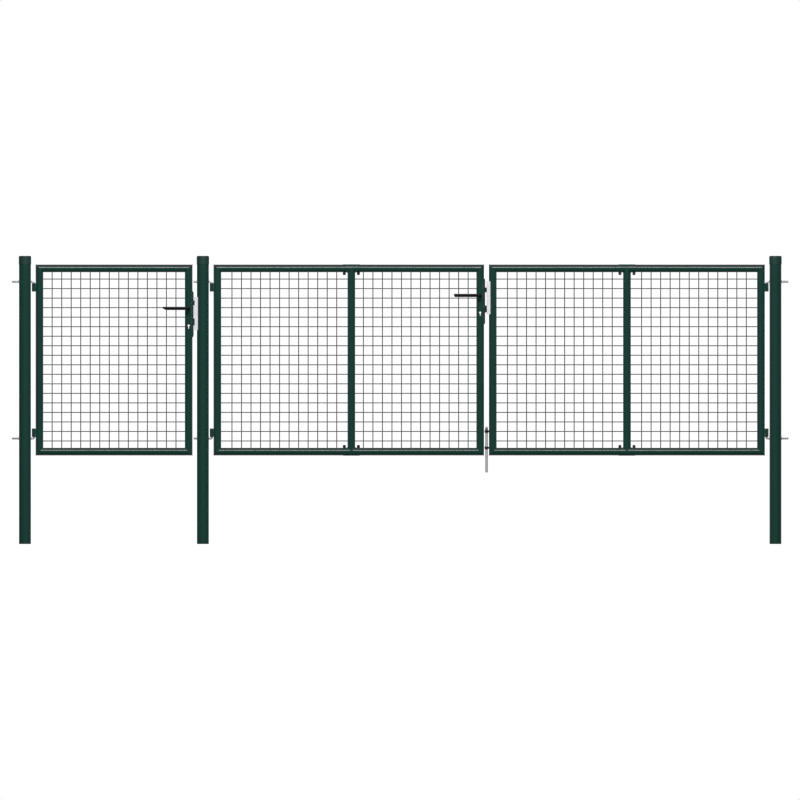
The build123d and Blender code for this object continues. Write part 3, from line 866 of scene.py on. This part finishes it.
# ------------------------------------------------------------------ leaves
@dataclass
class Leaf:
    """One leaf's CAD nodes, and the welds that hold them together."""

    wardrobe: Wardrobe
    name: str
    body: str
    stiles: Tuple[str, str]
    upright: bool
    corner_bead: float = 0.0012
    sleeve_bead: float = 0.0024
    saddle_bead: float = 0.0018

    def build(self) -> None:
        """Lay the corner, hinge and mesh welds of the leaf."""
        welds = Piece(self.name + "_frame_welds")
        for stile in self.stiles:
            self.corner_welds(welds, stile)
        self.hinge_welds(welds)
        if self.upright:
            self.upright_welds(welds)
        welds.finish(self.wardrobe, Finish.FRAME, self.body, sharp_degrees=80)
        self.wire_welds()

    def corner_welds(self, welds: Piece, stile: str) -> None:
        """Lay a bead round both mitres of a stile."""
        low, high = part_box(stile)
        radius = (high.x - low.x) / 2
        centre_x = (low.x + high.x) / 2
        leaf = self.middle_x()
        side = 1 if centre_x > leaf else -1
        for level, z in ((1, high.z - radius), (-1, low.z + radius)):
            across = Vector((side, 0, level)).normalized()
            normal = across.cross(Vector((0, 1, 0)))
            turn = Matrix((across, Vector((0, 1, 0)), normal)).transposed().to_4x4()
            place = Matrix.Translation((centre_x, 0, z)) @ turn
            ring = radius - self.corner_bead * 0.25
            welds.bead_ring(ring, self.corner_bead, place, stretch=math.sqrt(2))

    def middle_x(self) -> float:
        """Return X of the leaf's middle."""
        return middle(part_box(self.name + "_mesh")).x

    def hinge_welds(self, welds: Piece) -> None:
        """Lay a bead down both sides of each hinge sleeve."""
        sleeves = solid_boxes(self.name + "_hinge_sleeves")
        sleeve_x = middle(sleeves[0]).x
        stile = min(
            (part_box(node) for node in self.stiles), key=lambda box: abs(middle(box).x - sleeve_x)
        )
        stile_x = middle(stile).x
        stile_r = (stile[1].x - stile[0].x) / 2 + self.sleeve_bead * 0.55
        for low, high in sleeves:
            sleeve_r = (high.x - low.x) / 2 + self.sleeve_bead * 0.55
            apart = abs(sleeve_x - stile_x)
            along = (stile_r**2 - sleeve_r**2 + apart**2) / (2 * apart)
            out = math.sqrt(stile_r**2 - along**2)
            x = stile_x + along * (1 if sleeve_x > stile_x else -1)
            inset = Vector((0, 0, self.sleeve_bead))
            for y in (-out, out):
                start = Vector((x, y, low.z)) + inset
                end = Vector((x, y, high.z)) - inset
                welds.bead_seam(start, end, self.sleeve_bead)

    def upright_welds(self, welds: Piece) -> None:
        """Lay a saddle bead where the centre upright meets each tee sleeve."""
        low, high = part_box(self.name + "_centre_upright")
        radius = (high.x - low.x) / 2
        for box in solid_boxes(self.name + "_tee_sleeves"):
            sleeve_r = (box[1].z - box[0].z) / 2
            z = middle(box).z
            inward = 1 if z < (low.z + high.z) / 2 else -1
            place = at(Vector(((low.x + high.x) / 2, 0, z)), Vector((0, 0, inward)))
            ring = radius + self.saddle_bead * 0.3
            welds.bead_ring(
                ring, self.saddle_bead, place, drape=saddle(ring, sleeve_r + 0.0004)
            )

    def wire_welds(self) -> None:
        """Put a weld nugget on every crossing and a blob on every wire end."""
        boxes = solid_boxes(self.name + "_mesh")
        uprights = [box for box in boxes if box[1].z - box[0].z > box[1].x - box[0].x]
        levels = [box for box in boxes if box not in uprights]
        heights = sorted({round(middle(box).z, 5) for box in levels})
        nuggets = Piece(self.name + "_wire_welds")
        squash = Matrix.Diagonal((1, 0.75, 1, 1))
        ball = self.ball(nuggets, Vector((middle(uprights[0]).x, 0, heights[0])), squash)
        before = set(nuggets.mesh.verts) - set(ball)
        nuggets.repeat(ball, [Vector((0, 0, z - heights[0])) for z in heights[1:]])
        column = [vert for vert in nuggets.mesh.verts if vert not in before]
        first_x = middle(uprights[0]).x
        nuggets.repeat(
            column, [Vector((middle(box).x - first_x, 0, 0)) for box in uprights[1:]]
        )
        flat = Matrix.Diagonal((1, 1, 0.6, 1))
        for low, high in uprights:
            for z in (low.z, high.z):
                self.ball(nuggets, Vector(((low.x + high.x) / 2, (low.y + high.y) / 2, z)), flat)
        flat = Matrix.Diagonal((0.6, 1, 1, 1))
        for low, high in levels:
            for x in (low.x, high.x):
                self.ball(nuggets, Vector((x, (low.y + high.y) / 2, (low.z + high.z) / 2)), flat)
        nuggets.finish(self.wardrobe, Finish.WIRE, self.body, sharp_degrees=80)

    @staticmethod
    def ball(piece: Piece, place: Vector, shape: Matrix) -> List[bmesh.types.BMVert]:
        """Add one small lump of weld and return its vertices."""
        return bmesh.ops.create_icosphere(
            piece.mesh,
            subdivisions=1,
            radius=NUGGET,
            matrix=Matrix.Translation(place) @ shape,
        )["verts"]


@dataclass
class ClampSet:
    """Flanged bolts and welded nuts of one leaf's tee sleeves."""

    wardrobe: Wardrobe
    leaf: str
    body: str
    corner_radius: float = 0.0075
    head_height: float = 0.0071
    flange_height: float = 0.0016
    flange_radius: float = 0.008
    shank_radius: float = 0.004
    bead: float = 0.0009

    def build(self) -> None:
        """Build the nuts, their welds and the bolts."""
        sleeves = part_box(self.leaf + "_tee_sleeves")
        middle_z = middle(sleeves).z
        tube = min(high.z - low.z for low, high in solid_boxes(self.leaf + "_tee_sleeves")) / 2
        nuts = Piece(self.leaf + "_hex_nuts")
        for box in solid_boxes(self.leaf + "_clamp_nuts"):
            inward = 1 if middle(box).z < middle_z else -1
            foot = Vector((middle(box).x, 0, box[0].z if inward > 0 else box[1].z))
            height = box[1].z - box[0].z
            place = at(foot, Vector((0, 0, inward)))
            nuts.prism(6, self.corner_radius, height, place, rounded=0.0007, rounds=1)
            axis = sleeves[1].z - tube if inward < 0 else sleeves[0].z + tube
            ring = self.corner_radius
            seat = at(Vector((foot.x, 0, axis)), Vector((0, 0, inward)))
            nuts.bead_ring(ring, self.bead, seat, drape=saddle(ring, tube))
        nuts.finish(self.wardrobe, Finish.DARK, self.body, [self.leaf + "_clamp_nuts"])
        bolts = Piece(self.leaf + "_flange_bolts")
        for box in solid_boxes(self.leaf + "_clamp_bolts"):
            inward = 1 if middle(box).z < middle_z else -1
            end = box[1].z if inward > 0 else box[0].z
            foot = Vector((middle(box).x, 0, end - inward * self.head_height))
            self.bolt(bolts, at(foot, Vector((0, 0, inward))), box[1].z - box[0].z)
        bolts.finish(self.wardrobe, Finish.DARK, self.body, [self.leaf + "_clamp_bolts"])

    def bolt(self, bolts: Piece, place: Matrix, length: float) -> None:
        """Add one bolt.

        Args:
            bolts: The piece that it is added to.
            place: Seat of the flange, its Z towards the head.
            length: Whole length.
        """
        edge, chamfer = 0.0004, 0.0007
        tip = self.head_height - length
        bolts.lathe(
            (
                (0.0, tip),
                (self.shank_radius - chamfer, tip),
                (self.shank_radius, tip + chamfer),
                (self.shank_radius, 0),
                (self.flange_radius - edge, 0),
                (self.flange_radius, edge),
                (self.flange_radius, self.flange_height * 0.6),
                (self.corner_radius * 0.9, self.flange_height),
                (0.0, self.flange_height),
            ),
            place,
        )
        seat = place @ Matrix.Translation((0, 0, self.flange_height * 0.8))
        crown = self.head_height - self.flange_height * 0.8
        bolts.prism(6, self.corner_radius, crown, seat, rounded=0.0008, rounds=2)


# ------------------------------------------------------------------ screws
@dataclass
class ScrewSet:
    """Countersunk screws with a cross recess that stand for one node's plain ones."""

    wardrobe: Wardrobe
    node: str
    body: str
    faces: int
    coat: Finish
    sides: int = 32
    recess_reach: float = 0.55
    recess_arm: float = 0.14
    shank: float = 0.5
    thread_root: float = 0.84

    def build(self) -> None:
        """Build every screw of the node."""
        screws = Piece(self.node.replace("_screws", "_cross_screws"))
        for low, high in solid_boxes(self.node):
            radius = (high.z - low.z) / 2
            x = high.x if self.faces > 0 else low.x
            place = at(Vector((x, 0, (low.z + high.z) / 2)), Vector((self.faces, 0, 0)))
            self.screw(screws, place, radius, high.x - low.x)
        screws.finish(self.wardrobe, self.coat, self.body, [self.node], sharp_degrees=30)

    def screw(self, screws: Piece, place: Matrix, radius: float, length: float) -> None:
        """Add one screw whose flush face is the place's XY plane.

        Args:
            screws: The piece that it is added to.
            place: Middle of its face, with Z outwards.
            radius: Radius of the head.
            length: Whole length.
        """
        down = (place.to_3x3() @ Vector((0, 0, -1))).normalized()
        recess = screws.ring(radius * self.recess_reach, self.sides, Matrix.Identity(4))
        inner = list({vert for edge in recess for vert in edge.verts})
        for vert in inner:
            angle = math.atan2(vert.co.y, vert.co.x) % (math.pi / 2)
            angle = min(angle, math.pi / 2 - angle)
            arm = radius * self.recess_reach / math.cos(angle)
            flank = radius * self.recess_arm / max(math.sin(angle), 1e-3)
            vert.co = vert.co.normalized() * min(arm, flank)
        screws.move(inner, place)
        rim = screws.ring(radius, self.sides, place)
        bmesh.ops.bridge_loops(screws.mesh, edges=recess + rim)
        floor = screws.extend(recess, down * radius * 0.45, 0.72)
        screws.close(floor)
        ring = screws.extend(rim, down * radius * 0.06)
        ring = screws.extend(ring, down * radius * self.shank, self.shank)
        pitch = radius * 0.24
        for _ in range(int((length - radius * 1.1) / pitch)):
            ring = screws.extend(ring, down * pitch * 0.5, self.thread_root)
            ring = screws.extend(ring, down * pitch * 0.5, 1 / self.thread_root)
        ring = screws.extend(ring, down * radius * 0.3, 0.3)
        screws.close(ring)


# ------------------------------------------------------------------ locks
@dataclass
class LockTrim:
    """Seams that weld one lock box to its stile."""

    wardrobe: Wardrobe
    name: str
    body: str
    stile: str
    bead: float = 0.0013

    def build(self) -> None:
        """Lay a bead down both sides of the lock box."""
        box_low, box_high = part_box(self.name + "_lock_box")
        stile_low, stile_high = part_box(self.stile)
        radius = (stile_high.x - stile_low.x) / 2
        centre_x = (stile_low.x + stile_high.x) / 2
        half = (box_high.y - box_low.y) / 2
        x = centre_x + math.sqrt(radius**2 - half**2) + self.bead * 0.3
        seams = Piece(self.name + "_lock_box_welds")
        for y in (-half, half):
            start = Vector((x, y, box_low.z + self.bead))
            end = Vector((x, y, box_high.z - self.bead))
            seams.bead_seam(start, end, self.bead)
        seams.finish(self.wardrobe, Finish.FRAME, self.body, sharp_degrees=80)


@dataclass
class Lever:
    """One moulded lever handle with its neck."""

    wardrobe: Wardrobe
    node: str
    body: str
    taper: float
    half_height: float = 0.00775
    half_depth: float = 0.0065
    end_height: float = 0.007
    soft_edge: float = 0.0016
    neck_radius: float = 0.0085
    waist_radius: float = 0.0072
    segments: int = 32
    power: float = 3.2

    def build(self) -> None:
        """Build the neck and the tapered bar."""
        low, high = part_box(self.node)
        hub = Vector((high.x - self.neck_radius, 0, high.z - self.neck_radius))
        side = -1 if (low.y + high.y) < 0 else 1
        inner, outer = (high.y, low.y) if side < 0 else (low.y, high.y)
        bar_y = outer - side * self.half_depth
        lever = Piece(self.node + "_moulding")
        self.neck(lever, Vector((hub.x, inner, hub.z)), side, abs(bar_y - inner))
        self.bar(lever, Vector((hub.x, bar_y, hub.z)), low.x)
        lever.finish(self.wardrobe, Finish.LEVER, self.body, [self.node], sharp_degrees=50)

    def neck(self, lever: Piece, foot: Vector, side: int, length: float) -> None:
        """Turn the neck with its foot flange and waist."""
        neck, waist = self.neck_radius, self.waist_radius
        lever.lathe(
            (
                (0.0, 0.0),
                (neck - 0.0004, 0.0),
                (neck, 0.0004),
                (neck, 0.0026),
                (neck - 0.0003, 0.0031),
                (waist + 0.0003, 0.0040),
                (waist, 0.0050),
                (waist, length - 0.008),
                (waist - 0.0001, length),
                (0.0, length),
            ),
            at(foot, Vector((0, side, 0))),
            self.segments,
        )

    def bar(self, lever: Piece, hub: Vector, tip_x: float) -> None:
        """Loft the bar from the hub to the tip.

        Args:
            lever: The piece that it is added to.
            hub: Middle of the bar over the neck.
            tip_x: X of the tip.
        """
        length = hub.x - tip_x
        stops = [self.half_height * math.sin(math.radians(a)) for a in (89, 78, 64, 48, 30, 12)]
        stops += [-0.006, -length * 0.3, -length * 0.6]
        stops += [self.taper * share - length for share in (1.15, 1.0, 0.85, 0.6, 0.35)]
        stops += [self.soft_edge - length, self.soft_edge * 0.3125 - length, -length]
        old_x = stops[0]
        top, bottom, depth = self.section(old_x, length)
        centre = hub + Vector((old_x, 0, (top + bottom) / 2))
        ring = self.superellipse(lever, centre, (top - bottom) / 2, depth)
        lever.close(ring)
        for x in stops[1:]:
            old_top, old_bottom, old_depth = top, bottom, depth
            top, bottom, depth = self.section(x, length)
            drop = (top + bottom - old_top - old_bottom) / 2
            growth = Vector((1, depth / old_depth, (top - bottom) / (old_top - old_bottom)))
            ring = lever.extend(ring, Vector((x - old_x, 0, drop)), growth)
            old_x = x
        lever.close(ring)

    def section(self, x: float, length: float) -> Tuple[float, float, float]:
        """Return the bar's top, bottom and half depth at a place along it.

        Args:
            x: Place along the bar, measured from the hub.
            length: Length of the bar from hub to tip.

        Returns:
            Top and bottom over the hub's middle, and half the depth.
        """
        half = self.half_height
        if x > 0:
            round_end = math.sqrt(half**2 - x**2)
            return round_end, -round_end, self.half_depth * (0.72 + 0.28 * round_end / half)
        from_tip = x + length
        taper_left = max(0.0, 1 - from_tip / self.taper)
        bottom = (2 * half - self.end_height) * taper_left - half
        edge = 1 - math.sqrt(1 - max(0.0, 1 - from_tip / self.soft_edge) ** 2)
        nose = 0.0012 * edge
        return half - nose, bottom + nose, self.half_depth * (1 - 0.14 * edge)

    def superellipse(
        self, lever: Piece, centre: Vector, half_z: float, half_y: float
    ) -> List[bmesh.types.BMEdge]:
        """Draw a rounded section across X and return its edges."""
        ring = lever.ring(1.0, self.segments, Matrix.Identity(4))
        verts = list({vert for edge in ring for vert in edge.verts})
        for vert in verts:
            shape = (abs(vert.co.x) ** self.power + abs(vert.co.y) ** self.power) ** (
                -1 / self.power
            )
            vert.co = centre + Vector((0, vert.co.x * shape * half_y, vert.co.y * shape * half_z))
        return ring


@dataclass
class GuideWelds:
    """Short seams that weld the drop bolt's guides to their stile."""

    wardrobe: Wardrobe
    node: str = "right_drop_bolt_guides"
    stile: str = "right_meeting_stile"
    body: str = "right_leaf"
    neck_half: float = 0.004
    bead: float = 0.0011

    def build(self) -> None:
        """Lay a bead down both sides of each guide's neck."""
        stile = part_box(self.stile)
        radius = (stile[1].x - stile[0].x) / 2
        x = middle(stile).x - math.sqrt(radius**2 - self.neck_half**2) - self.bead * 0.3
        welds = Piece(self.node + "_welds")
        for box in solid_boxes(self.node):
            z = middle(box).z
            for y in (-self.neck_half, self.neck_half):
                welds.bead_seam(
                    Vector((x, y, z - self.neck_half)),
                    Vector((x, y, z + self.neck_half)),
                    self.bead,
                )
        welds.finish(self.wardrobe, Finish.DARK, self.body, sharp_degrees=80)


# ------------------------------------------------------------------ studio
@dataclass
class Softbox:
    """One rectangular studio light; a hidden one is left out of reflections."""

    name: str
    place: Point
    size: Tuple[float, float]
    radiance: float
    hidden: bool = False

    def build(self, aim: Vector) -> None:
        """Hang the light so that it faces a point."""
        data = bpy.data.lights.new(self.name, "AREA")
        data.shape = "RECTANGLE"
        data.size, data.size_y = self.size
        data.energy = self.radiance * math.pi * self.size[0] * self.size[1]
        made = bpy.data.objects.new(self.name, data)
        made.location = self.place
        made.rotation_euler = (aim - Vector(self.place)).to_track_quat("-Z", "Y").to_euler()
        made.visible_glossy = not self.hidden
        bpy.context.scene.collection.objects.link(made)


@dataclass
class Studio:
    """Camera, floor, sky and soft lights."""

    frame_width: float = 4.2
    frame_middle: Point = (-0.00105, 0.0, 0.7551)
    floor_size: float = 30.0
    camera_distance: float = 12.0
    sky_on_matt: float = 0.20
    sky_in_gloss: float = 0.03
    lights: Tuple[Softbox, ...] = (
        Softbox("key_bank", (0.0, -8.0, 7.9), (9.0, 3.2), 20.0),
        Softbox("front_fill", (-1.0, -7.0, 1.0), (6.0, 3.0), 1.2, hidden=True),
        Softbox("back_fill", (1.0, 7.0, 3.0), (6.0, 3.0), 2.0, hidden=True),
    )

    tone: Tuple[Tuple[float, float], ...] = (
        (0.05, 0.05),
        (0.10, 0.065),
        (0.25, 0.13),
        (0.50, 0.31),
        (0.75, 0.60),
    )

    def build(self) -> None:
        """Set the whole studio."""
        self.camera()
        self.floor()
        self.sky()
        for light in self.lights:
            light.build(Vector((light.place[0], 0, self.frame_middle[2])))
        self.grade()
        log.info("studio ready")

    def grade(self) -> None:
        """Use the plain view with a curve that holds fine dark lines on white."""
        view = bpy.context.scene.view_settings
        view.view_transform = "Standard"
        view.use_curve_mapping = True
        curve = view.curve_mapping.curves[3]
        for level, shown in self.tone:
            curve.points.new(level, shown)
        view.curve_mapping.update()

    def camera(self) -> None:
        """Stand a flat-on long-lens camera in front."""
        data = bpy.data.cameras.new("studio_camera")
        data.type = "ORTHO"
        data.ortho_scale = self.frame_width
        data.clip_end = 100.0
        made = bpy.data.objects.new("studio_camera", data)
        made.location = Vector(self.frame_middle) - Vector((0, self.camera_distance, 0))
        made.rotation_euler = (math.pi / 2, 0, 0)
        bpy.context.scene.collection.objects.link(made)
        bpy.context.scene.camera = made

    def floor(self) -> None:
        """Lay the pale floor under the post feet."""
        mesh = bmesh.new()
        bmesh.ops.create_grid(mesh, x_segments=4, y_segments=4, size=self.floor_size / 2)
        data = bpy.data.meshes.new("studio_floor")
        mesh.to_mesh(data)
        mesh.free()
        made = bpy.data.objects.new("studio_floor", data)
        data.materials.append(PaleFloor().material())
        made.visible_glossy = False
        made.visible_diffuse = False
        bpy.context.scene.collection.objects.link(made)

    def sky(self) -> None:
        """White behind the object, dim as a light and dimmer in reflections."""
        world = bpy.data.worlds.new("studio_world")
        world.use_nodes = True
        tree = world.node_tree
        tree.nodes.remove(tree.nodes["Background"])
        path = tree.nodes.new("ShaderNodeLightPath")
        result = self.sky_level(tree, self.sky_on_matt)
        for ray, level in (("Is Glossy Ray", self.sky_in_gloss), ("Is Camera Ray", 1.0)):
            mix = tree.nodes.new("ShaderNodeMixShader")
            tree.links.new(path.outputs[ray], mix.inputs[0])
            tree.links.new(result, mix.inputs[1])
            tree.links.new(self.sky_level(tree, level), mix.inputs[2])
            result = mix.outputs[0]
        tree.links.new(result, tree.nodes["World Output"].inputs["Surface"])
        bpy.context.scene.world = world

    @staticmethod
    def sky_level(tree: bpy.types.NodeTree, level: float) -> bpy.types.NodeSocket:
        """Add a white background of that strength and return its shader."""
        made = tree.nodes.new("ShaderNodeBackground")
        made.inputs["Color"].default_value = (1, 1, 1, 1)
        made.inputs["Strength"].default_value = level
        return made.outputs[0]


def main() -> None:
    """Build the looks in order: studio, finishes, then piece by piece."""
    logging.basicConfig(level=logging.INFO, format="%(name)s: %(message)s")
    Studio().build()
    wardrobe = Wardrobe()
    wardrobe.dress_frame()
    for post, joint in (
        ("left_post", "single_leaf_swing"),
        ("middle_post", "left_leaf_swing"),
        ("right_post", "right_leaf_swing"),
    ):
        HookSet(wardrobe, post, joint).build()
    for name, body, stiles, upright in (
        ("single", "single_leaf", ("single_hinge_stile", "single_lock_stile"), False),
        ("left", "left_leaf", ("left_hinge_stile", "left_lock_stile"), True),
        ("right", "right_leaf", ("right_meeting_stile", "right_hinge_stile"), True),
    ):
        Leaf(wardrobe, name, body, stiles, upright).build()
        if upright:
            ClampSet(wardrobe, name, body).build()
    LockTrim(wardrobe, "single", "single_leaf", "single_lock_stile").build()
    LockTrim(wardrobe, "pair", "left_leaf", "left_lock_stile").build()
    ScrewSet(wardrobe, "single_forend_screws", "single_leaf", 1, Finish.DARK).build()
    ScrewSet(wardrobe, "pair_forend_screws", "left_leaf", 1, Finish.DARK).build()
    ScrewSet(wardrobe, "post_keep_screws", "posts", -1, Finish.ZINC).build()
    ScrewSet(wardrobe, "leaf_keep_screws", "right_leaf", -1, Finish.ZINC).build()
    for name, taper in (("single", 0.018), ("pair", 0.004)):
        for side in ("front", "back"):
            Lever(wardrobe, f"{name}_lever_{side}", f"{name}_lever", taper).build()
    GuideWelds(wardrobe).build()


if __name__ == "__main__":
    main()
